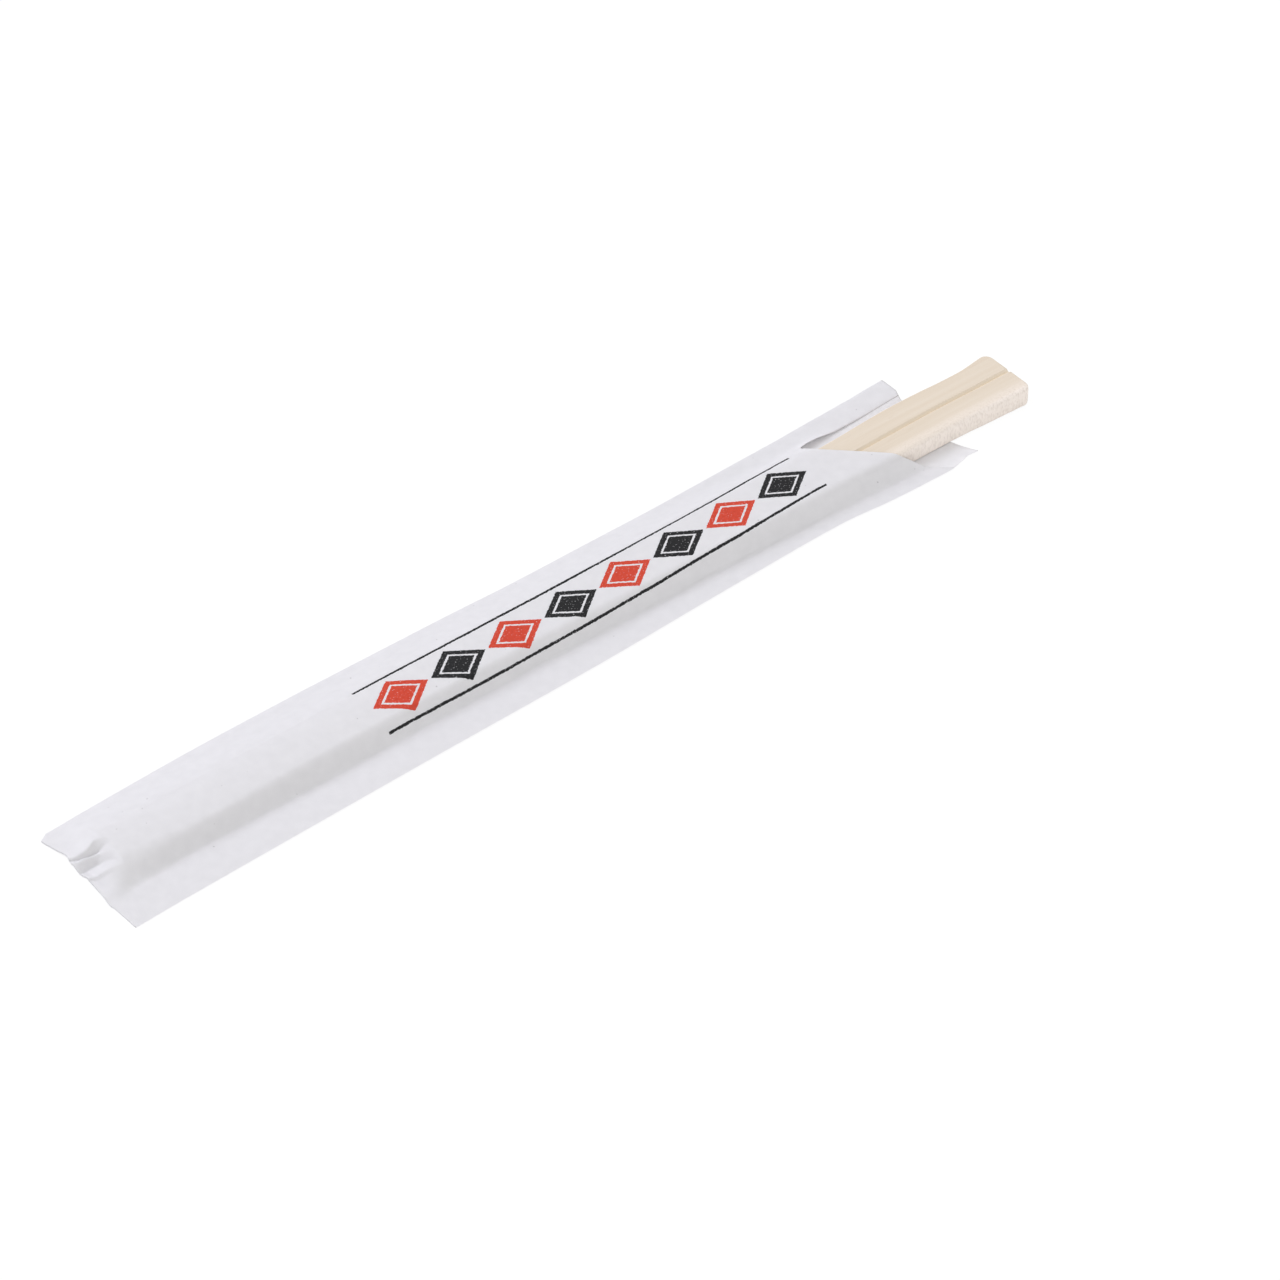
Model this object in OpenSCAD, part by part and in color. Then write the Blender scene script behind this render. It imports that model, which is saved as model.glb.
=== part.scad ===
// Unsplit pair of wooden chopsticks in a half-open paper sleeve.
// Millimetres, lying on the back of the sleeve: X runs from the closed end to the butts, Z is up.

/* [Chopsticks] */
// Length of the pair, from the tips to the butts
stick_length = 210; // [190:1:240]
// Width of the unsplit pair at the butts
butt_width = 12.6; // [10:0.1:15]
// Width of the unsplit pair at the tips
tip_width = 8; // [6:0.1:10]
// Thickness of the pair at the butts
butt_thickness = 3.9; // [3:0.1:5.5]
// Thickness of the pair at the tips
tip_thickness = 3.4; // [2.6:0.1:4.5]
// Radius of the outer corners at the butts, seen from above
butt_corner = 1.8; // [0.8:0.1:4]
// Radius of the outer corners at the tips, seen from above
tip_corner = 0.7; // [0.5:0.1:2]
// Bevel along the long edges
edge_bevel = 0.35; // [0.1:0.05:0.45]
// Width of the splitting groove in both faces
groove_width = 1.2; // [0.4:0.1:2]
// Depth of the splitting groove in both faces
groove_depth = 0.6; // [0.2:0.05:1]

/* [Sleeve] */
// Length of the sleeve, from the closed end to the mouth
sleeve_length = 198.5; // [185:0.5:212]
// Width of the sleeve between its two side creases, at the closed end
sleeve_width = 29.4; // [27:0.1:40]
// Thickness of the paper
paper = 0.08; // [0.06:0.01:0.2]
// Overlap of the glued seam along the back
seam_lap = 8; // [4:0.5:12]
// Length of the glued closed end
seal_length = 1.5; // [1:0.25:4]
// Run of the paper from the left edge of the sticks down to the wing beside them
left_flank = 6; // [3:0.1:8]
// Run of the paper from the right edge of the sticks down to the wing beside them
right_flank = 4; // [2:0.1:5]
// Height at which the paper meets the wing, at the foot of the flank
wing_lift = 0.6; // [0.3:0.05:1.2]
// Pull of each side crease towards the sticks at the narrowest place
draw_in = 1.4; // [0:0.1:1.5]
// Distance from the closed end to the narrowest place
waist_place = 148; // [130:1:165]
// Rise of the paper across the top of the sticks
ridge_crown = 0.2; // [0:0.05:0.6]

/* [Closed end] */
// Height of the small pleats where the end is pressed shut
pleat_height = 0.8; // [0.2:0.05:1]
// Width of one pleat
pleat_width = 2; // [1.2:0.1:2.4]
// Length of the pleats along the sleeve
pleat_length = 8; // [5:0.5:12]
// Distance between the pleats
pleat_pitch = 3; // [2.4:0.1:4]
// Length of the nicked left corner, along the sleeve
nick_length = 1.7; // [0.5:0.1:3]
// Width of the nicked left corner, across the sleeve
nick_width = 1; // [0.3:0.1:2]

/* [Mouth] */
// Distance from the mouth back to the low corner of the slanted notch in the front panel, before its rounding
notch_depth = 33; // [20:1:45]
// Angle of the slanted cut, from straight across the sleeve
notch_angle = 46; // [20:1:50]
// Width of the strip of the front panel that stays beside the notch
notch_strip = 5.6; // [4:0.1:10]
// Radius of the notch's low corner
notch_corner = 3.5; // [0.3:0.1:4]
// Width of the shallow thumb cut in the end of the sleeve
thumb_width = 23; // [12:0.5:25]
// Depth of the shallow thumb cut
thumb_depth = 3; // [0.5:0.1:5]

/* [Fit] */
// Distance from the closed end to the tips
tip_gap = 6.5; // [6:0.5:14]
// Sideways place of the tips, from the middle of the sleeve
tip_offset = 2.2; // [-3:0.1:3]
// Sideways place of the butts, from the middle of the sleeve
butt_offset = -2.8; // [-3:0.1:3]
// Room between the sticks and the front panel over them
ridge_clearance = 0.12; // [0.08:0.01:0.5]
// Room between the sides of the sticks and the paper
side_clearance = 0.15; // [0.1:0.05:0.6]

/* [Hidden] */

wood_colour = "#E8DCC6";
paper_colour = "#E9E9ED";

// The pair lies on the lap of the seam, two papers above the table.
rest_height = 2 * paper;
skew = asin((butt_offset - tip_offset) / stick_length);
far_corner_run = (stick_length - butt_corner) * cos(skew);
far_corner_shift = (butt_width / 2 - butt_corner) * abs(sin(skew));
overall_length = tip_gap + far_corner_run + far_corner_shift + butt_corner;

post_facets = 32;
thumb_facets = 160;
overshoot = 1;
// Cuts reach past the top of the ridge, and the notch's floor lies inside the back panel.
cut_height = 2 * butt_thickness + ridge_crown;
notch_floor = 1.8 * paper;

// Columns of the front panel's grid in each zone: left wing, left flank, top, right flank, right wing.
zone_columns = [6, 5, 14, 5, 6];

// Rows of the front panel's grid, at the closed end and along the sticks.
end_rows = 10;
long_rows = 24;
// The paper has its full height a little before it meets the tips.
tip_margin = 0.3;
ramp_end = tip_gap - tip_margin;
pleat_count = 3;
// The creases run straight near the closed end, and spread again towards the mouth.
draw_start = 30;
mouth_share = 0.3;
// Largest share of the room beside the sticks that a flank takes up.
widest_flank = 0.8;
slope_step = 0.2;

// Straight end that stays between the right crease and the thumb cut.
thumb_land = 0.6;
thumb_radius = (thumb_width * thumb_width / 4 + thumb_depth * thumb_depth) / (2 * thumb_depth);

function mix(from, to, share) = from + (to - from) * share;
function clamp(value) = min(max(value, 0), 1);
function smooth(share) = let (s = clamp(share)) s * s * (3 - 2 * s);
// Fall of a paper that bends over an edge (share 1) and runs out flat (share 0).
function drape(share) = let (s = clamp(share)) s * s * (2 - s);

// Where the sticks lie in the sleeve, at a distance x from its closed end.
function stick_share(x) = clamp((x - tip_gap) / stick_length);
function ridge_centre(x) = mix(tip_offset, butt_offset, stick_share(x));
function ridge_half(x) = mix(tip_width, butt_width, stick_share(x)) / 2 + side_clearance;
function ridge_height(x) =
    (mix(tip_thickness, butt_thickness, stick_share(x)) + ridge_clearance + rest_height)
    * drape((x - seal_length) / (ramp_end - seal_length));

// Lines that the front panel's grid follows, on the left (side 1) or the right (side -1).
function ridge_edge(x, side) = ridge_centre(x) + side * ridge_half(x);
function draw_share(x) =
    x < waist_place
        ? smooth((x - draw_start) / (waist_place - draw_start))
        : mix(1, mouth_share, smooth((x - waist_place) / (sleeve_length - waist_place)));
function crease(x, side) = side * (sleeve_width / 2 - draw_in * draw_share(x));
function flank_foot(x, side) =
    let (edge = ridge_edge(x, side), wing = abs(crease(x, side) - edge))
    edge + side * min(side > 0 ? left_flank : right_flank, widest_flank * wing);

// Small pleats that fade out along the sleeve.
function pleat_place(index) = tip_offset + (index - (pleat_count - 1) / 2) * pleat_pitch;
function pleat_rise(x, y) =
    pleat_height * smooth(1 - x / pleat_length)
    * max([for (index = [0 : pleat_count - 1]) smooth(1 - abs(y - pleat_place(index)) * 2 / pleat_width)]);

// Upper face of the back panel under the front one: two papers up on the right of the lap, one on the left.
function floor_height(y) = mix(2 * paper, paper, clamp((y + seam_lap / 2) / seam_lap));

// Height of the front panel over the back panel, half a paper down where the two are glued or creased.
function wing_height(x, y, side) =
    let (
        edge = ridge_edge(x, side),
        foot = flank_foot(x, side),
        lift = min(wing_lift, ridge_height(x)),
        out = side * (y - edge),
        foot_out = side * (foot - edge),
        crease_out = side * (crease(x, side) - edge)
    )
    out < foot_out
        ? mix(lift, ridge_height(x), drape(1 - out / foot_out))
        : lift * (crease_out - out) / (crease_out - foot_out);
function top_height(x, y) =
    let (across = (y - ridge_centre(x)) / ridge_half(x))
    ridge_height(x) + ridge_crown * (1 - across * across) * smooth((x - seal_length) / tip_gap);
function panel_height(x, y) =
    let (side = y > ridge_centre(x) ? 1 : -1, over = abs(y - ridge_centre(x)) < ridge_half(x))
    pleat_rise(x, y) - paper / 2 + (over ? top_height(x, y) : wing_height(x, y, side));

// Upright thickness that keeps the paper's own thickness on a slope.
function upright(x, y) =
    let (
        inward = y > ridge_centre(x) ? -slope_step : slope_step,
        across = (panel_height(x, y + inward) - panel_height(x, y)) / slope_step,
        along = (panel_height(x + slope_step, y) - panel_height(x, y)) / slope_step
    )
    paper * sqrt(1 + across * across + along * along);

// Places of the grid: rows along the sleeve, and columns that follow the lines of the ridge.
function row_place(row) =
    row <= end_rows
        ? tip_gap * row / end_rows
        : mix(tip_gap, sleeve_length, (row - end_rows) / long_rows);
function column_places(x) =
    let (
        left = [crease(x, 1), flank_foot(x, 1), ridge_edge(x, 1)],
        right = [ridge_edge(x, -1), flank_foot(x, -1), crease(x, -1)],
        lines = concat(left, right)
    )
    [
        for (zone = [0 : len(zone_columns) - 1]) for (column = [0 : zone_columns[zone] - 1])
            mix(lines[zone], lines[zone + 1], column / zone_columns[zone]),
        crease(x, -1)
    ];

// Closed solid between an upper and a lower grid of points, with the same rows and columns.
module sheet_between(upper, lower) {
    rows = len(upper) - 1;
    columns = len(upper[0]) - 1;
    count = (rows + 1) * (columns + 1);
    points = [for (grid = [upper, lower]) for (row = grid) for (point = row) point];
    function at(row, column, below = 0) = below * count + row * (columns + 1) + column;
    function quad(a, b, c, d) = [[a, c, b], [a, d, c]];
    faces = [
        for (r = [0 : rows - 1]) for (c = [0 : columns - 1])
            each concat(
                quad(at(r, c), at(r, c + 1), at(r + 1, c + 1), at(r + 1, c)),
                quad(at(r, c, 1), at(r + 1, c, 1), at(r + 1, c + 1, 1), at(r, c + 1, 1))
            ),
        for (r = [0 : rows - 1])
            each concat(
                quad(at(r, 0), at(r + 1, 0), at(r + 1, 0, 1), at(r, 0, 1)),
                quad(at(r + 1, columns), at(r, columns), at(r, columns, 1), at(r + 1, columns, 1))
            ),
        for (c = [0 : columns - 1])
            each concat(
                quad(at(0, c + 1), at(0, c), at(0, c, 1), at(0, c + 1, 1)),
                quad(at(rows, c), at(rows, c + 1), at(rows, c + 1, 1), at(rows, c, 1))
            )
    ];
    polyhedron(points = points, faces = faces);
}

// Front panel, draped over the sticks from crease to crease.
module front_panel() {
    places = [
        for (row = [0 : end_rows + long_rows])
            let (x = row_place(row))
            [for (y = column_places(x)) [x, y]]
    ];
    lower = [for (row = places) [for (p = row) [p.x, p.y, floor_height(p.y) + panel_height(p.x, p.y)]]];
    upper = [for (row = lower) [for (p = row) [p.x, p.y, p.z + upright(p.x, p.y)]]];
    sheet_between(upper, lower);
}

// Half of the back panel, from its crease to half the lap past the middle.
module back_half(side, height) {
    places = [
        for (row = [0 : end_rows + long_rows])
            let (x = row_place(row), ends = [crease(x, side), -side * seam_lap / 2])
            [[x, max(ends)], [x, min(ends)]]
    ];
    lower = [for (row = places) [for (p = row) [p.x, p.y, height]]];
    upper = [for (row = places) [for (p = row) [p.x, p.y, height + paper]]];
    sheet_between(upper, lower);
}

// Back panel: the left half is lapped under the right half and glued.
module back_panel() {
    back_half(1, 0);
    back_half(-1, paper);
}

// Slanted notch in the front panel. Its line is straight on the flat paper, so it runs on over the flank.
module notch() {
    middle = sleeve_length - notch_depth / 2;
    corner_x = sleeve_length - notch_depth;
    corner = [corner_x, crease(corner_x, 1) - notch_strip];
    edge_y = ridge_edge(middle, -1);
    foot_y = flank_foot(middle, -1);
    crease_y = crease(0, -1) - overshoot;
    slant = tan(notch_angle);
    edge_x = corner.x + (corner.y - edge_y) * slant;
    flank_length = norm([edge_y - foot_y, ridge_height(middle) - wing_lift]);
    foot_x = edge_x + flank_length * slant;
    crease_x = foot_x + (foot_y - crease_y) * slant;
    mouth_x = max(sleeve_length, crease_x) + 2 * notch_corner;
    outline = [
        corner,
        [edge_x, edge_y],
        [foot_x, foot_y],
        [crease_x, crease_y],
        [mouth_x, crease_y - 2 * notch_corner],
        [mouth_x, corner.y]
    ];
    translate([0, 0, notch_floor])
        linear_extrude(cut_height)
            offset(r = notch_corner)
                offset(delta = -notch_corner)
                    polygon(outline);
}

// Shallow arc cut through both panels at the mouth, from the right crease.
module thumb_cut() {
    middle = crease(sleeve_length, -1) + thumb_land + thumb_width / 2;
    translate([sleeve_length - thumb_depth + thumb_radius, middle, -overshoot])
        cylinder(r = thumb_radius, h = cut_height + overshoot, $fn = thumb_facets);
}

// Nicked left corner of the closed end, cut through both panels. The wedge is three times the nick's size.
module corner_nick() {
    corner_y = crease(0, 1);
    outline = [
        [2 * nick_length, corner_y + nick_width],
        [-nick_length, corner_y + nick_width],
        [-nick_length, corner_y - 2 * nick_width]
    ];
    translate([0, 0, -overshoot])
        linear_extrude(cut_height + overshoot)
            polygon(outline);
}

// Round post with bevelled rims, a corner of the sticks.
module bevelled_post(radius, height) {
    translate([0, 0, edge_bevel])
        cylinder(r = radius, h = height - 2 * edge_bevel, $fn = post_facets);
    cylinder(r = radius - edge_bevel, h = height, $fn = post_facets);
}

// Straight groove with a V section, from the tips to the butts.
module groove(tip_height, butt_height, face) {
    rise = atan((butt_height - tip_height) / stick_length);
    half = groove_width / 2;
    clear = face * overshoot;
    section = [[0, -face * groove_depth], [half, 0], [half, clear], [-half, clear], [-half, 0]];
    translate([0, 0, tip_height])
        rotate([0, -rise, 0])
            rotate([90, 0, 90])
                translate([0, 0, -overshoot])
                    linear_extrude(stick_length + 2 * overshoot)
                        polygon(section);
}

// Two sticks still joined along the middle, tapered in width and thickness.
module joined_sticks() {
    difference() {
        hull()
            for (side = [-1, 1]) {
                translate([tip_corner, side * (tip_width / 2 - tip_corner), 0])
                    bevelled_post(tip_corner, tip_thickness);
                translate([stick_length - butt_corner, side * (butt_width / 2 - butt_corner), 0])
                    bevelled_post(butt_corner, butt_thickness);
            }
        groove(tip_thickness, butt_thickness, 1);
        groove(0, 0, -1);
    }
}

module in_frame() {
    translate([-overall_length / 2, 0, 0])
        children();
}

module paper_sleeve() {
    color(paper_colour)
        in_frame()
            difference() {
                union() {
                    back_panel();
                    difference() {
                        front_panel();
                        notch();
                    }
                }
                thumb_cut();
                corner_nick();
            }
}

module chopsticks() {
    color(wood_colour)
        in_frame()
            translate([tip_gap, tip_offset, rest_height])
                rotate([0, 0, skew])
                    joined_sticks();
}

paper_sleeve();
chopsticks();
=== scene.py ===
"""Wrapped wooden chopsticks: an unsplit pair lying in a folded, half-open paper sleeve on a pale floor."""
import bisect
import math

import bmesh
import bpy
from mathutils import Matrix, Vector, noise


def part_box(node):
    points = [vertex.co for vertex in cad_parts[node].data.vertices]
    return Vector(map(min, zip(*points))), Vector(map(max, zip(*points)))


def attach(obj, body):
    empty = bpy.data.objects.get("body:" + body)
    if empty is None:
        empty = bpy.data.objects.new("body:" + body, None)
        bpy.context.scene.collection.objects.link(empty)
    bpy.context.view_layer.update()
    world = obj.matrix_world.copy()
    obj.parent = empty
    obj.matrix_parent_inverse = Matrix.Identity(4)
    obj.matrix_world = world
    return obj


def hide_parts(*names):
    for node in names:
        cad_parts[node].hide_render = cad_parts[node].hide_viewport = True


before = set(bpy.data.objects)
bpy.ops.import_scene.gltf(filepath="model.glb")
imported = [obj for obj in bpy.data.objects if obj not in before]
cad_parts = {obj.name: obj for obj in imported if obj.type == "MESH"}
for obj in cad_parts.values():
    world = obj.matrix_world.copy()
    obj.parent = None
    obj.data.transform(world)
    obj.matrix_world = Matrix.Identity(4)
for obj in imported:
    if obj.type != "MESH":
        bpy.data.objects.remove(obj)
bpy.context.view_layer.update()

# Sizes are in millimetres, in the sleeve's own directions: u from its closed end, v to the left and z up.
# On the flat blank, s is the place across it from the front panel's middle line.
MM = 0.001
sleeve_low, sleeve_high = (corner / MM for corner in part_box("paper_sleeve"))
sticks_low, _ = (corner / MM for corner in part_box("chopsticks"))
CLOSED_END = sleeve_low.x
SLEEVE_LENGTH = sleeve_high.x - sleeve_low.x
PANEL_WIDTH = sleeve_high.y - sleeve_low.y
PAPER = sticks_low.z / 2
TIP_GAP = sticks_low.x - sleeve_low.x

# Closer than these, two places count as one: in comparing, in cuts of the blank and in cuts of the pair
NEAR = 1e-3
BLANK_TOUCH = 1e-6
PAIR_TOUCH = 1e-5

# The pair's sizes, as the frame has them, and where it lies in the sleeve
PAIR_LENGTH = 210.0
BUTT_WIDTH = 12.6
TIP_WIDTH = 8.0
BUTT_THICKNESS = 3.9
TIP_THICKNESS = 3.4
BUTT_CORNER = 1.8
TIP_CORNER = 0.7
GROOVE_WIDTH = 1.2
GROOVE_DEPTH = 0.5
TIP_U = 6.5
TIP_OFFSET = 2.2
BUTT_OFFSET = -2.8
SKEW = math.asin((BUTT_OFFSET - TIP_OFFSET) / PAIR_LENGTH)

# The rounds of the pair's edges: all the upper ones, the upper right one beyond that, and the lower ones
LONG_EDGE = 0.4
RIGHT_ROUND = 1.2
LOW_EDGE = 0.3

# The pair's mesh: lines along it on each side of the middle, levels up its sides, rows across it and steps
PAIR_LINES = (GROOVE_WIDTH / 2, 1.8, 3.2, 4.6, 5.1, 5.3, 5.5, 5.7)
SIDE_LEVELS = (0.3, 0.5, 0.7)
PAIR_ROWS = 300
CORNER_STEPS = 6
EDGE_STEPS = 4
RIM_ANGLE = math.radians(60)
SHARP_ANGLE = math.radians(38)

# The pair's unevenness along it: its slight bend, its two edges and its raised butt
PAIR_BEND = [(80, 0.0), (165, -0.5), (190, -0.1), (202, -0.2), (210, -0.2)]
LEFT_EDGE = [(140, 0.0), (165, -0.35), (183, 0.1), (201, -0.45), (208, 0.2), (210, 0.3)]
RIGHT_EDGE = [(185, 0.0), (205, 0.4), (210, 0.5)]
BUTT_LIFT = 0.1
LIFT_START = 150.0

# The drift of the pair's sides away from its middle, and the marks of the saw, as (amount, wave lengths)
MIDDLE_KEPT = 2.0
SIDE_FACING = 0.6
SIDE_DRIFT = (0.1, (26.0, 9.0, 9.0))
SAW_MARKS = [(0.05, (1.3, 1.0, 0.7)), (0.05, (5.0, 1.0, 1.2))]

# Where the top turns from planed to sawn on its right side, as (share, start, width) out from the middle;
# there the top takes the sawn sides' colour, which is painted lighter as painted light
SAWN_STEPS = [(0.6, 2.8, 3.0), (0.4, 5.3, 0.8)]

# The sleeve's blank: one sheet, with the front panel in the middle and half of the back on each side
SEAM_LAP = 8.0
HALF_PANEL = PANEL_WIDTH / 2
HALF_BLANK = PANEL_WIDTH + SEAM_LAP / 2

# Rows and columns of the blank's mesh, as (count from the start, place), closer where the paper bends most
ROW_PLACES = [(0, 0), (50, 11), (200, 166.5), (290, SLEEVE_LENGTH)]
COLUMN_PLACES = [(0, 0), (40, 8), (52, HALF_PANEL), (76, HALF_BLANK)]
PROFILE_STEPS = 220

# The mouth: a slanted notch in the front panel, the strip left of it, and a shallow thumb cut across the end
NOTCH_U = SLEEVE_LENGTH - 33.6
NOTCH_STRIP = 5.4
NOTCH_S = HALF_PANEL - NOTCH_STRIP
NOTCH_ANGLE = math.radians(47.8)
NOTCH_ROUND = 3.5
NOTCH_FREE = NOTCH_U + NOTCH_ROUND * (1 + math.sin(NOTCH_ANGLE)) / math.cos(NOTCH_ANGLE)
ROUND_STEPS = 9
STRIP_LIFT = [(172, 0.75), (179, 0.38), (186, 0.08), (190, -0.03), (194, -0.07), (198.5, -0.07)]
STRIP_BLEND = 7.0
THUMB_WIDTH = 23.4
THUMB_DEPTH = 3.0
THUMB_MIDDLE = -2.6
THUMB_REACH = 14.0

# Where the two side creases run, and how far the paper lifts them off the floor
LEFT_CREASE = [(0, 14.65), (10, 15.0), (32, 15.5), (56, 15.3), (68, 15.0), (92, 14.3), (104, 13.75),
               (128, 13.35), (140, 13.15), (164, 13.3), (176, 13.3), (188, 13.05), (198.5, 13.2)]
RIGHT_CREASE = [(0, -14.25), (4, -14.15), (12, -14.0), (32, -13.95), (68, -13.85), (104, -13.9),
                (128, -13.4), (140, -13.2), (164, -13.05), (176, -14.1), (188, -14.6), (191, -14.6),
                (194.4, -13.95), (196.2, -13.65), (198.5, -13.85)]
LEFT_LIFT = [(0, 0.05), (40, 0.1), (148, 0.2), (198.5, 0.05)]
RIGHT_LIFT = [(0, 0.03), (40, 0.2), (150, 0.25), (186, 0.15), (191, 0.15), (198.5, 0.25)]
FLAT_SHARE = 0.55
LAP_EASE = 2.5

# The roll of the mouth's left end: its height along the sleeve, its start across it and its pull inwards
MOUTH_ROLL = [(168, 0.0), (182, 0.5), (190, 0.9), (198.5, 1.05)]
ROLL_START = 4.2
ROLL_WIDTH = 4.4
ROLL_PULL = 0.6

# The front panel's ridge over the pair, from its ramp at the closed end
RIDGE_CLEARANCE = 0.2
RIDGE_CROWN = [(0, 0.45), (55, 0.45), (95, 0.2), (150, 0.1)]
EDGE_MARGIN = 0.6
ROOM = 0.3
RAMP_START = -0.2
RAMP_END = 6.2
RAMP_ROUND = 0.5
FULL_RISE = 2.5

# The front panel beside the ridge: a long slope on the left, and a flank and a flat wing on the right
LEFT_SAG = [(0, 0.1), (60, 0.25), (140, 0.3), (165, 0.0)]
LEFT_FOOT = 9.2
FOOT_START = 132.0
FOOT_REACH = 36.0
FOOT_LIFT = 0.15
LEAST_MARGIN = 1.0
RIGHT_FLANK = [(0, 3.6), (6, 3.6), (14, 2.6), (24, 2.2), (58, 2.2), (85, 1.9), (110, 1.8),
               (134, 1.6), (150, 1.5), (185, 2.1)]
RIGHT_SPREAD = [(0, 2.6), (1.2, 2.1), (5.3, 0.2), (9, 0.4), (15, 0.5), (28, 0.5), (45, 0.2), (60, -0.05),
                (85, -0.3), (140, -0.3), (160, -0.2)]
WING_LIFT = [(0, 0.3), (25, 0.0), (40, -0.1), (198.5, -0.1)]

# How gently one slope of the front panel bends into the next
RIDGE_BEND = 0.9
FLANK_BEND = [(0, 1.3), (60, 1.3), (90, 2.0), (120, 2.4), (150, 3.6), (185, 4.6)]
FOOT_BEND = 0.7
LYING_BEND = 0.9
END_BEND = 0.5
ROOM_BEND = 0.2
LEAST_BEND = 0.01

# The paper's slack, as waves of (amount, length), and where it fades out
SLACK_WAVES = [(0.2, 16.0), (0.07, 6.0)]
WAVE_ACROSS = 1.7
WAVE_LAYER = 3.7
RIDGE_SLACK = 0.3
RIDGE_EASE = 0.06
RIDGE_FADE = 2.0
CREASE_FADE = 3.0
SLACK_START = 12.0

# The closed end's edge: how far it stands off the floor, and how far it runs out past a straight line
END_RISE = [(-14.3, 0.0), (-8.0, 0.03), (-7.0, 0.15), (-5.5, 0.7), (-3.0, 0.85), (2.0, 0.95), (7.0, 0.9),
            (11.5, 0.25), (14.6, 0.0)]
END_SHIFT = [(-14.2, -0.1), (-8.1, -0.3), (-7.2, -0.5), (-3.4, -0.25), (1.5, 0.0), (4.7, -0.15), (7.1, 0.3),
             (10.5, 0.0), (13.7, -0.42)]
END_REACH = 6.0
SHUT_REACH = 3.5

# The nick that takes the left crease's corner off the closed end
NICK_ALONG = 1.7
NICK_OUT = 1.0
NICK_REACH = 3.0

# Pleats of the pressed end: lines along them, from left to right, as (u, v, height above the drape)
PLEAT_LINES = [
    [(0, 9.0, 0), (2, 7.8, 0), (4.5, 7.5, 0), (7.5, 7.0, 0)],
    [(0, 5.65, 0.55), (1.5, 4.75, 0.85), (3, 4.0, 1.0), (4.5, 4.3, 0.8), (6, 3.8, 0.3), (7.5, 3.2, 0)],
    [(0, 5.35, 0.0), (1.5, 4.45, -0.05), (3, 3.3, -0.5), (4.5, 2.9, -1.0), (6, 2.5, -0.25), (7.5, 2.4, 0)],
    [(0, 4.3, 0.4), (1.8, 3.5, 0.45), (3.1, 2.6, 0.1), (4.5, 1.9, -0.4), (6, 0.5, -0.1), (7.5, 0.4, 0)],
    [(0, 2.2, -0.75), (1.8, 2.1, -1.2), (3.1, 1.4, -1.45), (4.5, 0.2, -0.95), (6, -1.8, -0.15),
     (7.5, -1.9, 0)],
    [(0, -0.4, 0.4), (1.5, -1.35, 0.5), (3, -1.9, 0.4), (4.5, -2.4, 0.15), (6, -2.8, 0), (7.5, -2.8, 0)],
    [(0, -0.7, 0.0), (1.5, -1.7, 0.0), (3, -2.5, 0.1), (4.5, -3.0, 0.05), (6, -3.2, 0), (7.5, -3.2, 0)],
    [(0, -4.0, 0), (2, -5.2, 0), (4.5, -5.5, 0), (7.5, -5.5, 0)],
]

# The print: a row of nested diamonds along the sleeve, red and black in turn, between two rules
PRINT_START = 62.0
PRINT_LENGTH = 104.0
PRINT_MIDDLE = -0.5
DIAMOND_PITCH = 13.0
DIAMOND_LENGTH = 12.4
DIAMOND_WIDTH = 8.4
GAP_PLACE = 0.66
GAP_HALF = 0.055
RULE_PLACE = 5.4
RULE_WIDTH = 0.55
INK_WOBBLE = 0.35

# Colours
PAPER_WHITE = (0.922, 0.914, 0.925, 1)
PAPER_SHADE = (0.882, 0.874, 0.885, 1)
SPECK_GREY = (0.5, 0.48, 0.49, 1)
RED_INK = (0.83, 0.10, 0.055, 1)
RED_DEEP = (0.72, 0.075, 0.04, 1)
BLACK_INK = (0.026, 0.026, 0.027, 1)
WOOD_PALE = (0.755, 0.665, 0.55, 1)
WOOD_WARM = (0.72, 0.62, 0.497, 1)
WOOD_FLECK = (0.62, 0.50, 0.38, 1)
# The sawn sides' own rough wood tone, painted much lighter than the top as painted light falling on the sides
SAWN_SIDE_PAINTED_LIGHT = (0.95, 0.868, 0.80, 1)
WOOD_TUFT = (0.70, 0.62, 0.56, 1)
WOOD_GROOVE = (0.85, 0.74, 0.58, 1)
FLOOR_MATTE = (0.85, 0.85, 0.85, 1)
PLAIN_WHITE = (1, 1, 1, 1)

# Patterns, as (fineness per metre, lowest level, highest level, detail)
PAPER_CLOUDS = (480.0, 0.25, 0.75, 6.0)
PAPER_SPECKS = (900.0, 0.775, 0.80, 1.0)
INK_MISSES = (3200.0, 0.66, 0.72, 1.0)
INK_MOTTLE = (1500.0, 0.25, 0.75, 3.0)
WOOD_STREAKS = (900.0, 0.3, 0.7, 3.0)
WOOD_FLECKS = (2600.0, 0.62, 0.78, 2.0)
SAW_TUFTS = (2600.0, 0.45, 0.7, 3.0)

# Plain noises, as (fineness per metre, detail)
EDGE_NOISE = (2200.0, 2.0)
FIBRE_NOISE = (3800.0, 3.0)
COCKLE_NOISE = (320.0, 2.0)

# How much each pattern shows, and how the wood's patterns are stretched along it
SPECK_SHARE = 0.5
MISS_SHARE = 0.55
FLECK_SHARE = 0.25
TUFT_SHARE = 0.6
SAWN_SHARE = 0.85
GROOVE_SHARE = 0.8
STREAK_STRETCH = (0.025, 1, 1)
FLECK_STRETCH = (0.12, 1, 1)
TUFT_STRETCH = (1, 1, 0.4)

# Relief of the paper and the wood, and the light that the paper lets through
COCKLE_RELIEF = 2.0
SAWN_RELIEF = 1.2
PLANED_RELIEF = 0.1
PAPER_GLOW = 0.29

# Camera at the photograph's angle
CAMERA_PLACE = Vector((-412.5, -509.6, 583.0)) * MM
CAMERA_HEADING = math.radians(40.117)
CAMERA_PITCH = math.radians(41.939)
CAMERA_LENS = 133.83
SENSOR_WIDTH = 36.0
CLIP_START = 0.01

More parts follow.
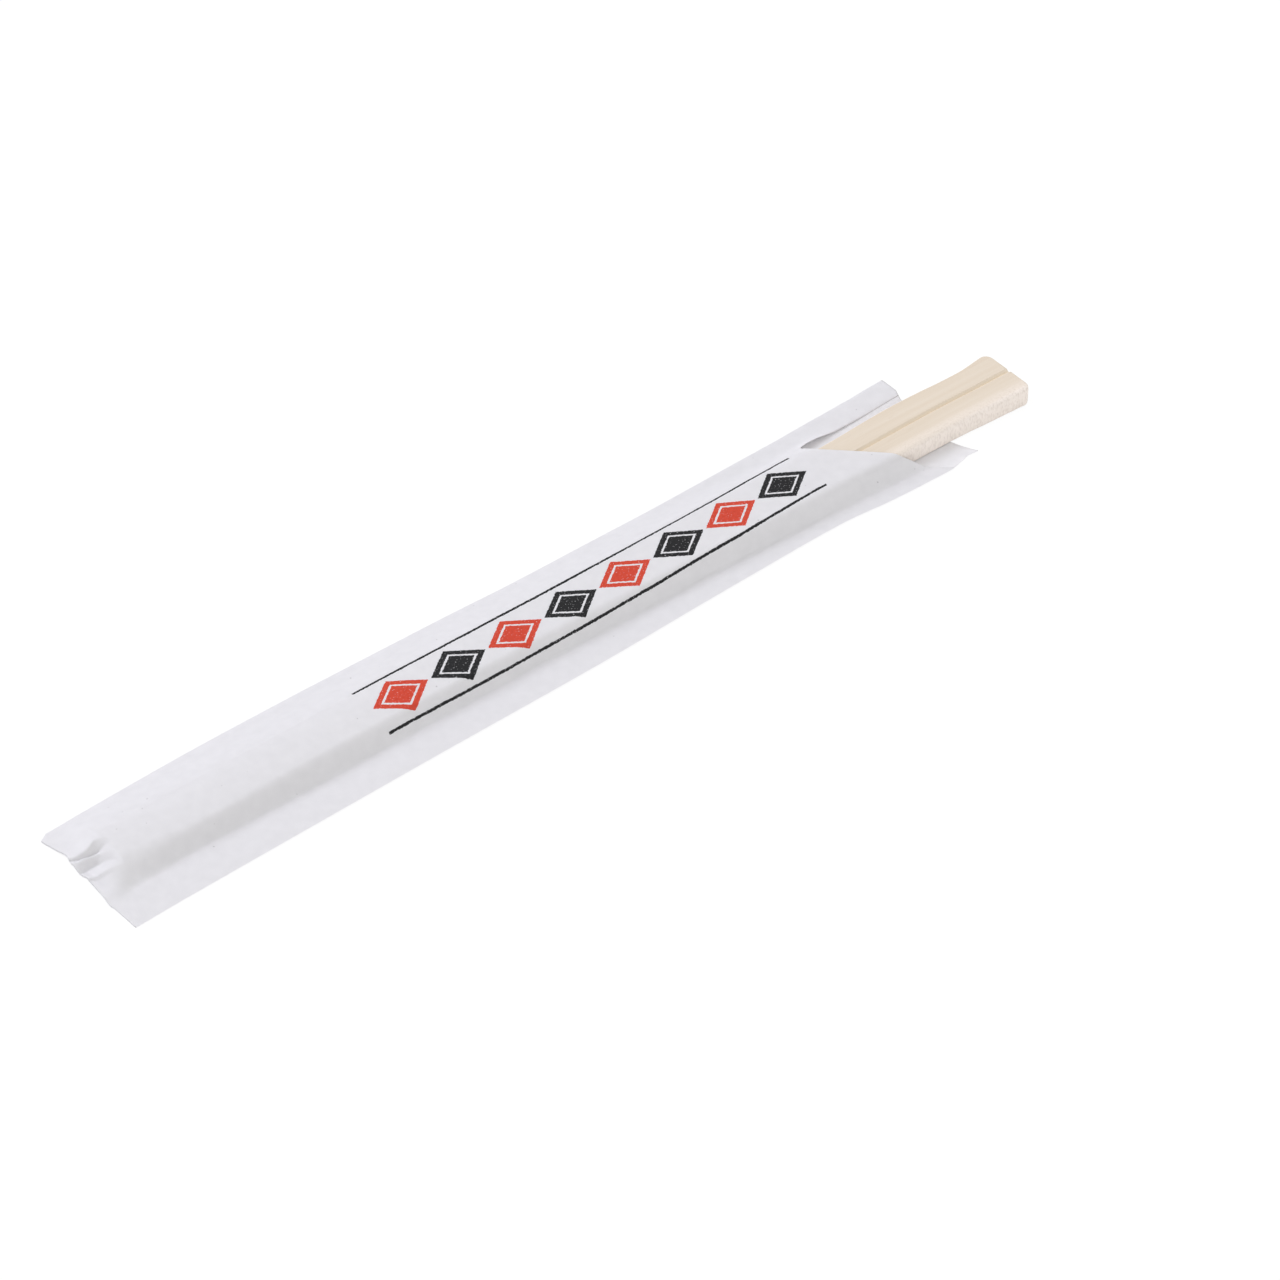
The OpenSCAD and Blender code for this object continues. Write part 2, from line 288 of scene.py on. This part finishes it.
# Floor and light, in metres and watts
FLOOR_HALF = 3.0
FLOOR_WHITE = 0.88
FLOOR_STRENGTH = 1.05
KEY_PLACE = (-0.8, 1.4, 1.7)
KEY_SIZE = 1.2
KEY_POWER = 27.0
KEY_COLOUR = (0.89, 0.895, 1.0)
FILL_PLACE = (0.5, -1.8, 0.45)
FILL_SIZE = 1.4
FILL_POWER = 6.0
FILL_COLOUR = (1, 1, 1)
SKY_STRENGTH = 0.755


def mix(a, b, share):
    return a + (b - a) * share


def clamp(value):
    return min(max(value, 0.0), 1.0)


def smooth(value):
    share = clamp(value)
    return share * share * (3 - 2 * share)


def soft_min(a, b, bend):
    """The lower of two heights, with the corner between them rounded off."""
    near = max(bend - abs(a - b), 0.0) / bend
    return min(a, b) - near * near * bend / 4


def soft_max(a, b, bend):
    return -soft_min(-a, -b, bend)


def through(points, at):
    """Smooth curve through a few (place, value) points, level beyond its ends."""
    places = [place for place, _ in points]
    if at <= places[0]:
        return points[0][1]
    if at >= places[-1]:
        return points[-1][1]

    def slope(index):
        if index in (0, len(points) - 1):
            return 0.0
        before, after = points[index - 1], points[index + 1]
        return (after[1] - before[1]) / (after[0] - before[0])

    index = bisect.bisect_right(places, at) - 1
    (start, low), (end, high) = points[index], points[index + 1]
    run = end - start
    t = (at - start) / run
    leave = t * (1 - t) * (1 - t) * run * slope(index)
    arrive = t * t * (t - 1) * run * slope(index + 1)
    return mix(low, high, smooth(t)) + leave + arrive


# The pair under the paper


def stick_share(u):
    return clamp((u - TIP_GAP) / PAIR_LENGTH)


def half_pair(u):
    return mix(TIP_WIDTH, BUTT_WIDTH, stick_share(u)) / 2


def pair_top(u):
    return mix(TIP_THICKNESS, BUTT_THICKNESS, stick_share(u)) + 2 * PAPER


def ridge_centre(u):
    share = stick_share(u)
    return mix(TIP_OFFSET, BUTT_OFFSET, share) + through(PAIR_BEND, share * PAIR_LENGTH)


def ridge_half(u):
    return half_pair(u) + EDGE_MARGIN


def ridge_height(u):
    ramp = clamp((u - RAMP_START) / (RAMP_END - RAMP_START))
    return (pair_top(u) + RIDGE_CLEARANCE) * ramp * (1 + RAMP_ROUND - RAMP_ROUND * ramp)


def above_sticks(u, v):
    """Lowest place for the paper over the pair and round its rounded long edges, or the floor beside it."""
    inside = half_pair(u) + ROOM - abs(v - ridge_centre(u))
    if u < TIP_GAP - ROOM or inside < 0:
        return 0.0
    edge = LONG_EDGE if v > ridge_centre(u) else RIGHT_ROUND
    radius = edge + ROOM
    over = max(0.0, radius - inside)
    return pair_top(u) - edge + math.sqrt(radius * radius - over * over)


# The folded sleeve


def mouth_roll(u, v):
    """How far the left end of the mouth rolls up off the floor."""
    return through(MOUTH_ROLL, u) * smooth((v - ROLL_START) / ROLL_WIDTH)


def back_lift(u, v, is_left_half=None):
    """Inner face of the back panel above the floor: level under the sticks, curled up towards the creases."""
    if is_left_half is None:
        is_left_half = v > 0
    side = through(LEFT_LIFT if v > 0 else RIGHT_LIFT, u)
    crease = through(LEFT_CREASE if v > 0 else RIGHT_CREASE, u)
    flat_to = FLAT_SHARE * abs(crease)
    out = clamp((abs(v) - flat_to) / (abs(crease) - flat_to))
    on_lap = 0.0 if is_left_half else smooth((v + SEAM_LAP / 2) / LAP_EASE + 1)
    return (1 + on_lap) * PAPER + side * out * out + mouth_roll(u, v)


def undulation(u, v, amount, length):
    """Slow unevenness of the paper, the same on every run."""
    return amount * noise.noise(Vector((u / length, v / length * WAVE_ACROSS, WAVE_LAYER)))


def pleat_rise(u, v):
    """Rise and fall of the pressed end's slanting folds."""
    if u >= PLEAT_LINES[0][-1][0]:
        return 0.0
    across = []
    for line in PLEAT_LINES:
        place = through([(at, side) for at, side, _ in line], u)
        across.append((place, through([(at, height) for at, _, height in line], u)))
    for (near, high), (far, low) in zip(across, across[1:]):
        if far <= v <= near:
            return mix(high, low, (near - v) / (near - far))
    return 0.0


def front_height(u, v):
    """Inner face of the front panel above the floor."""
    left, right = through(LEFT_CREASE, u), through(RIGHT_CREASE, u)
    left_z, right_z = back_lift(u, left), back_lift(u, right)
    centre, half = ridge_centre(u), ridge_half(u)
    top = max(ridge_height(u), left_z, right_z)
    rise = clamp((top - max(left_z, right_z)) / FULL_RISE)
    across = (v - centre) / half
    crown = through(RIDGE_CROWN, u) * max(0.0, 1 - across * across) * smooth(u / TIP_GAP)
    if v > centre:
        lying = smooth((u - FOOT_START) / FOOT_REACH)
        foot = mix(left, LEFT_FOOT, lying)
        lift = left_z + FOOT_LIFT * lying
        slope = (foot - v) / (foot - centre - half)
        sag = through(LEFT_SAG, u) * 4 * slope * max(1 - slope, 0.0) * rise
        margin = mix(left_z, lift, clamp((left - v) / max(left - foot, LEAST_MARGIN)))
        height = soft_min(top + crown, mix(lift, top, slope) - sag, RIDGE_BEND * rise + LEAST_BEND)
        height = soft_max(height, margin, LYING_BEND * lying + LEAST_BEND)
    else:
        width = through(RIGHT_FLANK, u)
        foot = centre - half - through(RIGHT_SPREAD, u) - width
        lift = right_z + through(WING_LIFT, u) * rise
        flank = mix(lift, top, (v - foot) / width)
        wing = mix(right_z, lift, (v - right) / (foot - right))
        height = soft_min(top + crown, flank, through(FLANK_BEND, u) * rise + LEAST_BEND)
        height = soft_max(height, wing, FOOT_BEND * rise + LEAST_BEND)
    inside = smooth(min(left - v, v - right) / CREASE_FADE)
    ends = 2 * PAPER + through(END_RISE, v) * (1 - smooth(u / END_REACH))
    height = soft_max(height, ends, END_BEND * inside + LEAST_BEND)
    on_ridge = 1 - smooth((abs(v - centre) - half) / RIDGE_FADE + 0.5)
    slack = sum(undulation(u, v, amount, length) for amount, length in SLACK_WAVES)
    slack = mix(slack, RIDGE_SLACK * slack + RIDGE_EASE, on_ridge)
    height += pleat_rise(u, v) * inside + slack * inside * smooth(u / SLACK_START)
    return soft_max(max(height, back_lift(u, v)), above_sticks(u, v), ROOM_BEND)


def strip_height(u, v):
    """The strip left of the notch, lying on the back panel with its free edge a little off it."""
    left = through(LEFT_CREASE, u)
    out = clamp((left - v) / NOTCH_STRIP)
    lying = back_lift(u, v) + through(STRIP_LIFT, u) * out * out
    return mix(front_height(u, v), lying, smooth((u - NOTCH_FREE) / STRIP_BLEND))


class Profile:
    """The front panel's line across the sleeve at one place along it, measured along the paper."""

    def __init__(self, u, height):
        left, right = through(LEFT_CREASE, u), through(RIGHT_CREASE, u)
        self.places = [mix(right, left, step / PROFILE_STEPS) for step in range(PROFILE_STEPS + 1)]
        self.heights = [height(u, v) for v in self.places]
        self.lengths = [0.0]
        for index in range(PROFILE_STEPS):
            run = self.places[index + 1] - self.places[index]
            rise = self.heights[index + 1] - self.heights[index]
            self.lengths.append(self.lengths[-1] + math.hypot(run, rise))

    @property
    def total(self):
        return self.lengths[-1]

    def at(self, length):
        """Place and height at a length along the paper from the right crease."""
        index = min(max(bisect.bisect_right(self.lengths, length) - 1, 0), PROFILE_STEPS - 1)
        span = self.lengths[index + 1] - self.lengths[index]
        share = (length - self.lengths[index]) / span
        place = mix(self.places[index], self.places[index + 1], share)
        return place, mix(self.heights[index], self.heights[index + 1], share)


profiles = {}


def profile_at(u, height):
    key = (round(u, 3), height.__name__)
    if key not in profiles:
        profiles[key] = Profile(u, height)
    return profiles[key]


def front_place(u, s):
    """Where a point of the front panel lies across the sleeve, and how high."""
    if u > NOTCH_FREE and s > NOTCH_S - NEAR:
        strip = profile_at(u, strip_height)
        scale = profile_at(NOTCH_FREE, front_height).total / PANEL_WIDTH
        return strip.at(strip.total - (HALF_PANEL - s) * scale)
    line = profile_at(u, front_height)
    return line.at((s + HALF_PANEL) / PANEL_WIDTH * line.total)


def back_place(u, s):
    """Where a point of the back lies, and how high. The left half is lapped under the right half."""
    left, right = through(LEFT_CREASE, u), through(RIGHT_CREASE, u)
    out = (abs(s) - HALF_PANEL) * (left - right) / PANEL_WIDTH
    v = left - out if s > 0 else right + out
    height = back_lift(u, v, s > 0)
    shut = front_height(u, v) - (2 if s > 0 else 1) * PAPER
    return v, mix(height, max(shut, height), 1 - smooth(u / SHUT_REACH))


def thumb_cut(v):
    across = (v - THUMB_MIDDLE) / (THUMB_WIDTH / 2)
    return THUMB_DEPTH * max(0.0, 1 - across * across)


def folded(u, s):
    """A point of the blank carried to its place on the folded sleeve, in metres in the frame."""
    v, z = front_place(u, s) if abs(s) <= HALF_PANEL + NEAR else back_place(u, s)
    pull = clamp(1 - (SLEEVE_LENGTH - u) / THUMB_REACH)
    mouth_cut = thumb_cut(v) + ROLL_PULL * mouth_roll(u, v)
    shift = through(END_SHIFT, v) * (1 - smooth(u / END_REACH)) - mouth_cut * pull * pull
    return Vector((CLOSED_END + u + shift, v, z)) * MM


def cut_line(bm, faces, place, across):
    """Cuts faces of the flat blank along a straight line."""
    edges = {edge for face in faces for edge in face.edges}
    verts = {vert for face in faces for vert in face.verts}
    bmesh.ops.bisect_plane(bm, geom=list(faces) + list(edges) + list(verts), dist=BLANK_TOUCH,
                           plane_co=place, plane_no=across)


def cut_out(bm, near, lines):
    """Cuts away the part of the blank that is beyond all the lines, each a place and a direction."""
    for place, across in lines:
        cut_line(bm, [face for face in bm.faces if near(face.calc_center_median())], place, across)
    gone = []
    for face in bm.faces:
        middle = face.calc_center_median()
        if near(middle) and all((middle - place).dot(across) > 0 for place, across in lines):
            gone.append(face)
    bmesh.ops.delete(bm, geom=gone, context="FACES")


def die_cut(bm):
    """Cuts the round-cornered notch out of the front panel, and nicks the left crease at the closed end."""
    middle = Vector((NOTCH_FREE, NOTCH_S - NOTCH_ROUND, 0))
    lines = []
    for step in range(ROUND_STEPS + 1):
        turn = mix(NOTCH_ANGLE, -math.pi / 2, step / ROUND_STEPS)
        across = Vector((math.cos(turn), math.sin(turn), 0))
        lines.append((middle - across * NOTCH_ROUND, across))
    cut_out(bm, lambda at: abs(at.y) < HALF_PANEL and at.x > NOTCH_U, lines)
    for side in (-1, 1):
        across = Vector((-NICK_OUT, -side * NICK_ALONG, 0)).normalized()
        cut_out(bm, lambda at: 0 < (at.y - HALF_PANEL) * side < NICK_REACH and at.x < NICK_REACH,
                [(Vector((NICK_ALONG, HALF_PANEL, 0)), across)])


def graded(places, share):
    """Place of a row or column, from its share of the whole count."""
    count = share * places[-1][0]
    for (first, low), (last, high) in zip(places, places[1:]):
        if count <= last + NEAR:
            return mix(low, high, (count - first) / (last - first))


def finish_piece(name, bm):
    """A smooth-shaded object at the origin, from a finished bmesh."""
    mesh = bpy.data.meshes.new(name)
    bm.to_mesh(mesh)
    bm.free()
    for polygon in mesh.polygons:
        polygon.use_smooth = True
    piece = bpy.data.objects.new(name, mesh)
    bpy.context.scene.collection.objects.link(piece)
    return piece


def make_sleeve():
    """The flat blank, graded, die-cut and folded, with the paper's thickness on its outer side."""
    bm = bmesh.new()
    bmesh.ops.create_grid(bm, x_segments=ROW_PLACES[-1][0], y_segments=2 * COLUMN_PLACES[-1][0], size=1.0)
    for vert in bm.verts:
        x, y, _ = vert.co
        vert.co = (graded(ROW_PLACES, (x + 1) / 2), math.copysign(graded(COLUMN_PLACES, abs(y)), y), 0)
    die_cut(bm)
    for edge in bm.edges:
        if all(abs(abs(vert.co.y) - HALF_PANEL) < NEAR for vert in edge.verts):
            edge.smooth = False
    flat = bm.loops.layers.uv.new("flat_sheet")
    for face in bm.faces:
        for loop in face.loops:
            loop[flat].uv = loop.vert.co.xy * MM
    for vert in bm.verts:
        vert.co = folded(vert.co.x, vert.co.y)
    bm.normal_update()
    piece = finish_piece("folded_sleeve", bm)
    wall = piece.modifiers.new("paper_thickness", "SOLIDIFY")
    wall.thickness = PAPER * MM
    wall.offset = 1.0
    return piece


# The pair of chopsticks


def upright_edges(bm, place):
    return [
        edge for edge in bm.edges
        if abs(edge.verts[0].co.x - place) < NEAR
        and abs(edge.verts[1].co.x - place) < NEAR
        and abs(edge.verts[0].co.z - edge.verts[1].co.z) > BUTT_THICKNESS / 2
    ]


def round_edges(bm, edges, radius, steps):
    bmesh.ops.bevel(bm, geom=edges, offset=radius, offset_type="OFFSET", segments=steps, profile=0.5,
                    affect="EDGES", material=-1)


def cut_through(bm, place, across):
    geometry = list(bm.verts) + list(bm.edges) + list(bm.faces)
    bmesh.ops.bisect_plane(bm, geom=geometry, dist=PAIR_TOUCH, plane_co=place, plane_no=across)


def unevenness(place, amount, lengths):
    """Slow unevenness of the wood, the same on every run, with its wave lengths along x, y and z."""
    return amount * noise.noise(Vector([at / length for at, length in zip(place, lengths)]))


def shape_pair(bm):
    """Sinks the splitting grooves, rounds the right edge, tapers the pair and roughens its sawn sides."""
    groove = bm.verts.layers.float.new("groove")
    sawn = bm.verts.layers.float.new("sawn")
    bm.normal_update()
    sides = {vert for vert in bm.verts if abs(vert.normal.y) > SIDE_FACING}
    for vert in bm.verts:
        x, y, z = vert.co
        top = z > BUTT_THICKNESS - LONG_EDGE - NEAR
        bottom = z < LOW_EDGE + NEAR
        if abs(y) < NEAR and (top or bottom):
            z += GROOVE_DEPTH if bottom else -GROOVE_DEPTH
            vert[groove] = 1.0
        if y < 0:
            over = clamp(1 - (BUTT_WIDTH / 2 + y) / RIGHT_ROUND)
            z *= 1 - RIGHT_ROUND * (1 - math.sqrt(1 - over * over)) / BUTT_THICKNESS
        share = x / PAIR_LENGTH
        flare = through(LEFT_EDGE if y > 0 else RIGHT_EDGE, x) * 2 / BUTT_WIDTH
        y *= mix(TIP_WIDTH, BUTT_WIDTH, share) / BUTT_WIDTH + flare
        z *= mix(TIP_THICKNESS, BUTT_THICKNESS, share) / BUTT_THICKNESS
        z += BUTT_LIFT * smooth((x - LIFT_START) / (PAIR_LENGTH - LIFT_START))
        drift = unevenness((x, y, z), *SIDE_DRIFT)
        # Faces turned to either side are marked sawn: this gives them their roughness and their colour, which
        # is painted lighter as painted light
        if vert in sides:
            vert[sawn] = 1.0
            drift += sum(unevenness((x, y, z), *mark) for mark in SAW_MARKS)
        # Towards the right edge the top also takes the sawn sides' painted-lighter colour
        if y < 0 and top:
            steps = sum(part * smooth((-y - start) / width) for part, start, width in SAWN_STEPS)
            vert[sawn] = max(vert[sawn], steps)
        if abs(y) > MIDDLE_KEPT:
            y += drift if y > 0 else -drift
        vert.co = (x, y + through(PAIR_BEND, x), z)


def make_pair():
    """Two sticks still joined along the middle, sawn from one piece."""
    bm = bmesh.new()
    bmesh.ops.create_cube(bm, size=1.0)
    bmesh.ops.scale(bm, vec=(PAIR_LENGTH, BUTT_WIDTH, BUTT_THICKNESS), verts=bm.verts)
    bmesh.ops.translate(bm, vec=(PAIR_LENGTH / 2, 0, BUTT_THICKNESS / 2), verts=bm.verts)
    for place, radius in ((0.0, TIP_CORNER), (PAIR_LENGTH, BUTT_CORNER)):
        round_edges(bm, upright_edges(bm, place), radius, CORNER_STEPS)
    rims = [edge for edge in bm.edges if edge.calc_face_angle(0.0) > RIM_ANGLE]
    low = [edge for edge in rims if max(vert.co.z for vert in edge.verts) < NEAR]
    high = [edge for edge in rims if min(vert.co.z for vert in edge.verts) > NEAR]
    for edges, radius in ((low, LOW_EDGE), (high, LONG_EDGE)):
        round_edges(bm, edges, radius, EDGE_STEPS)
    for line in PAIR_LINES:
        for side in (-1, 1):
            cut_through(bm, (0, side * line, 0), (0, 1, 0))
    cut_through(bm, (0, 0, 0), (0, 1, 0))
    for level in SIDE_LEVELS:
        cut_through(bm, (0, 0, level * BUTT_THICKNESS), (0, 0, 1))
    for row in range(1, PAIR_ROWS):
        cut_through(bm, (PAIR_LENGTH * row / PAIR_ROWS, 0, 0), (1, 0, 0))
    shape_pair(bm)
    place = Matrix.Translation((CLOSED_END + TIP_U, TIP_OFFSET, 2 * PAPER)) @ Matrix.Rotation(SKEW, 4, "Z")
    bmesh.ops.transform(bm, matrix=Matrix.Scale(MM, 4) @ place, verts=bm.verts)
    piece = finish_piece("joined_pair", bm)
    piece.data.set_sharp_from_angle(angle=SHARP_ANGLE)
    return piece


# Materials


def feed(tree, socket, value):
    """Links a socket to another node's output, or sets it."""
    if isinstance(value, bpy.types.NodeSocket):
        tree.links.new(value, socket)
    else:
        socket.default_value = value


def add_node(tree, kind, sockets=None, **settings):
    """A shader node with its settings, and with its named sockets set or linked."""
    made = tree.nodes.new("ShaderNode" + kind)
    for name, value in settings.items():
        setattr(made, name, value)
    for name, value in (sockets or {}).items():
        feed(tree, made.inputs[name], value)
    return made


def maths(tree, operation, *values):
    """A maths node's result."""
    return add_node(tree, "Math", dict(enumerate(values)), operation=operation).outputs[0]


def blend_colours(tree, share, first, second):
    """A Mix node's result. Its colours are its inputs 6 and 7 and its output 2."""
    return add_node(tree, "Mix", {0: share, 6: first, 7: second}, data_type="RGBA").outputs[2]


def plain_noise(tree, place, fineness, detail):
    return add_node(tree, "TexNoise", {"Vector": place, "Scale": fineness, "Detail": detail})


def speckle(tree, place, fineness, low, high, detail):
    """Noise turned into a share from 0 to 1 between two levels."""
    grain = plain_noise(tree, place, fineness, detail)
    ramp = add_node(tree, "MapRange", {"Value": grain.outputs[0], "From Min": low, "From Max": high})
    return ramp.outputs[0]


def stretched(tree, place, scale):
    return add_node(tree, "Mapping", {"Vector": place, "Scale": scale}).outputs[0]


def new_material(name):
    material = bpy.data.materials.new(name)
    material.use_nodes = True
    tree = material.node_tree
    tree.nodes.clear()
    return material, tree


def print_shares(tree, place):
    """Shares of red and of black ink: a row of nested diamonds between two thin rules, on the flat sheet."""
    wobble = plain_noise(tree, place, *EDGE_NOISE).outputs["Color"]
    centred = add_node(tree, "VectorMath", {0: wobble, 1: (0.5, 0.5, 0.5)}, operation="SUBTRACT")
    shift = add_node(tree, "VectorMath", {0: centred.outputs[0], "Scale": INK_WOBBLE * MM}, operation="SCALE")
    moved = add_node(tree, "VectorMath", {0: place, 1: shift.outputs[0]}, operation="ADD")
    parts = add_node(tree, "SeparateXYZ", {0: moved.outputs[0]})
    along = maths(tree, "MULTIPLY_ADD", parts.outputs[0], 1 / MM, -PRINT_START)
    across = maths(tree, "ABSOLUTE", maths(tree, "MULTIPLY_ADD", parts.outputs[1], 1 / MM, -PRINT_MIDDLE))
    cell = maths(tree, "DIVIDE", along, DIAMOND_PITCH)
    local = maths(tree, "ABSOLUTE", maths(tree, "SUBTRACT", maths(tree, "FRACT", cell), 0.5))
    reach = maths(tree, "ADD", maths(tree, "MULTIPLY", local, 2 * DIAMOND_PITCH / DIAMOND_LENGTH),
                  maths(tree, "DIVIDE", across, DIAMOND_WIDTH / 2))
    in_print = maths(tree, "COMPARE", along, PRINT_LENGTH / 2, PRINT_LENGTH / 2)
    diamond = maths(tree, "MULTIPLY", maths(tree, "LESS_THAN", reach, 1.0), in_print)
    gap = maths(tree, "COMPARE", reach, GAP_PLACE, GAP_HALF)
    solid = maths(tree, "MULTIPLY", diamond, maths(tree, "SUBTRACT", 1.0, gap))
    odd = maths(tree, "GREATER_THAN", maths(tree, "FRACT", maths(tree, "MULTIPLY", cell, 0.5)), 0.5)
    rule = maths(tree, "MULTIPLY", maths(tree, "COMPARE", across, RULE_PLACE, RULE_WIDTH / 2), in_print)
    black = maths(tree, "MAXIMUM", maths(tree, "MULTIPLY", solid, odd), rule)
    red = maths(tree, "MULTIPLY", solid, maths(tree, "SUBTRACT", 1.0, odd))
    return red, black


def sleeve_paper():
    """Thin uncoated white paper with cloudy formation, a few specks and a two-colour print."""
    material, tree = new_material("sleeve_paper")
    place = add_node(tree, "UVMap", uv_map="flat_sheet").outputs[0]
    colour = blend_colours(tree, speckle(tree, place, *PAPER_CLOUDS), PAPER_SHADE, PAPER_WHITE)
    specks = speckle(tree, place, *PAPER_SPECKS)
    colour = blend_colours(tree, maths(tree, "MULTIPLY", specks, SPECK_SHARE), colour, SPECK_GREY)
    red, black = print_shares(tree, place)
    inked = maths(tree, "MULTIPLY_ADD", speckle(tree, place, *INK_MISSES), -MISS_SHARE, 1.0)
    mottled = blend_colours(tree, speckle(tree, place, *INK_MOTTLE), RED_DEEP, RED_INK)
    colour = blend_colours(tree, maths(tree, "MULTIPLY", red, inked), colour, mottled)
    colour = blend_colours(tree, maths(tree, "MULTIPLY", black, inked), colour, BLACK_INK)
    fibres = plain_noise(tree, place, *FIBRE_NOISE).outputs[0]
    cockle = plain_noise(tree, place, *COCKLE_NOISE).outputs[0]
    relief = maths(tree, "MULTIPLY_ADD", cockle, COCKLE_RELIEF, fibres)
    bump = add_node(tree, "Bump", {"Height": relief, "Strength": 0.35, "Distance": 0.00004})
    face = add_node(tree, "BsdfPrincipled", {"Base Color": colour, "Roughness": 0.85,
                                             "Normal": bump.outputs[0], "Specular IOR Level": 0.3})
    glow = add_node(tree, "BsdfTranslucent", {"Color": colour, "Normal": bump.outputs[0]})
    both = add_node(tree, "MixShader", {0: PAPER_GLOW, 1: face.outputs[0], 2: glow.outputs[0]})
    add_node(tree, "OutputMaterial", {"Surface": both.outputs[0]})
    return material


def pale_wood():
    """Planed pale hardwood: fine streaks along it, short flecks, rough sawn sides painted lighter as painted
    light, and pale grooves.
    """
    material, tree = new_material("pale_wood")
    object_place = add_node(tree, "TexCoord").outputs["Object"]
    along = add_node(tree, "Mapping", {"Vector": object_place, "Rotation": (0, 0, -SKEW)}).outputs[0]
    streaks = speckle(tree, stretched(tree, along, STREAK_STRETCH), *WOOD_STREAKS)
    colour = blend_colours(tree, streaks, WOOD_WARM, WOOD_PALE)
    flecks = speckle(tree, stretched(tree, along, FLECK_STRETCH), *WOOD_FLECKS)
    colour = blend_colours(tree, maths(tree, "MULTIPLY", flecks, FLECK_SHARE), colour, WOOD_FLECK)
    sawn = add_node(tree, "Attribute", attribute_name="sawn").outputs["Fac"]
    tufts = speckle(tree, stretched(tree, along, TUFT_STRETCH), *SAW_TUFTS)
    # Colour of the sawn sides: their own tufted wood, painted lighter as painted light on the sides
    side = blend_colours(tree, maths(tree, "MULTIPLY", tufts, TUFT_SHARE), SAWN_SIDE_PAINTED_LIGHT, WOOD_TUFT)
    colour = blend_colours(tree, maths(tree, "MULTIPLY", sawn, SAWN_SHARE), colour, side)
    groove = add_node(tree, "Attribute", attribute_name="groove").outputs["Fac"]
    colour = blend_colours(tree, maths(tree, "MULTIPLY", groove, GROOVE_SHARE), colour, WOOD_GROOVE)
    roughness = maths(tree, "MULTIPLY_ADD", sawn, SAWN_RELIEF, PLANED_RELIEF)
    relief = maths(tree, "MULTIPLY_ADD", tufts, roughness, streaks)
    bump = add_node(tree, "Bump", {"Height": relief, "Strength": 0.4, "Distance": 0.00005})
    face = add_node(tree, "BsdfPrincipled", {"Base Color": colour, "Roughness": 0.7,
                                             "Normal": bump.outputs[0], "Specular IOR Level": 0.3})
    add_node(tree, "OutputMaterial", {"Surface": face.outputs[0]})
    return material


def pale_floor():
    """White to the camera, with the object's soft shadow kept."""
    material, tree = new_material("pale_floor")
    rays = add_node(tree, "LightPath")
    seen = maths(tree, "MAXIMUM", rays.outputs["Is Camera Ray"], rays.outputs["Is Glossy Ray"])
    seen = maths(tree, "MAXIMUM", seen, rays.outputs["Is Transmission Ray"])
    matte = add_node(tree, "BsdfDiffuse", {"Color": FLOOR_MATTE})
    white = add_node(tree, "Emission", {"Color": PLAIN_WHITE, "Strength": FLOOR_STRENGTH})
    both = add_node(tree, "MixShader", {0: maths(tree, "MULTIPLY", seen, FLOOR_WHITE), 1: matte.outputs[0],
                                        2: white.outputs[0]})
    add_node(tree, "OutputMaterial", {"Surface": both.outputs[0]})
    return material


sleeve = make_sleeve()
sleeve.data.materials.append(sleeve_paper())
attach(sleeve, "root")
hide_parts("paper_sleeve")

pair = make_pair()
pair.data.materials.append(pale_wood())
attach(pair, "root")
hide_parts("chopsticks")

# Camera
camera_data = bpy.data.cameras.new("camera")
camera_data.sensor_width = SENSOR_WIDTH
camera_data.lens = CAMERA_LENS
camera_data.clip_start = CLIP_START
camera = bpy.data.objects.new("camera", camera_data)
camera.location = CAMERA_PLACE
camera.rotation_euler = (math.pi / 2 - CAMERA_PITCH, 0, -CAMERA_HEADING)
bpy.context.scene.collection.objects.link(camera)
bpy.context.scene.camera = camera

# Floor
floor_sheet = bmesh.new()
bmesh.ops.create_grid(floor_sheet, x_segments=1, y_segments=1, size=FLOOR_HALF)
floor = finish_piece("floor", floor_sheet)
floor.data.materials.append(pale_floor())


def add_panel(name, place, size, power, colour):
    """A square lamp aimed at the origin."""
    data = bpy.data.lights.new(name, "AREA")
    data.color = colour
    data.size = size
    data.energy = power
    panel = bpy.data.objects.new(name, data)
    panel.location = place
    panel.rotation_euler = (-Vector(place)).to_track_quat("-Z", "Y").to_euler()
    bpy.context.scene.collection.objects.link(panel)


# Light
add_panel("key", KEY_PLACE, KEY_SIZE, KEY_POWER, KEY_COLOUR)
add_panel("fill", FILL_PLACE, FILL_SIZE, FILL_POWER, FILL_COLOUR)
world = bpy.data.worlds.new("studio")
bpy.context.scene.world = world
world.use_nodes = True
sky = world.node_tree.nodes["Background"]
sky.inputs["Color"].default_value = PLAIN_WHITE
sky.inputs["Strength"].default_value = SKY_STRENGTH
bpy.context.scene.view_settings.view_transform = "Standard"
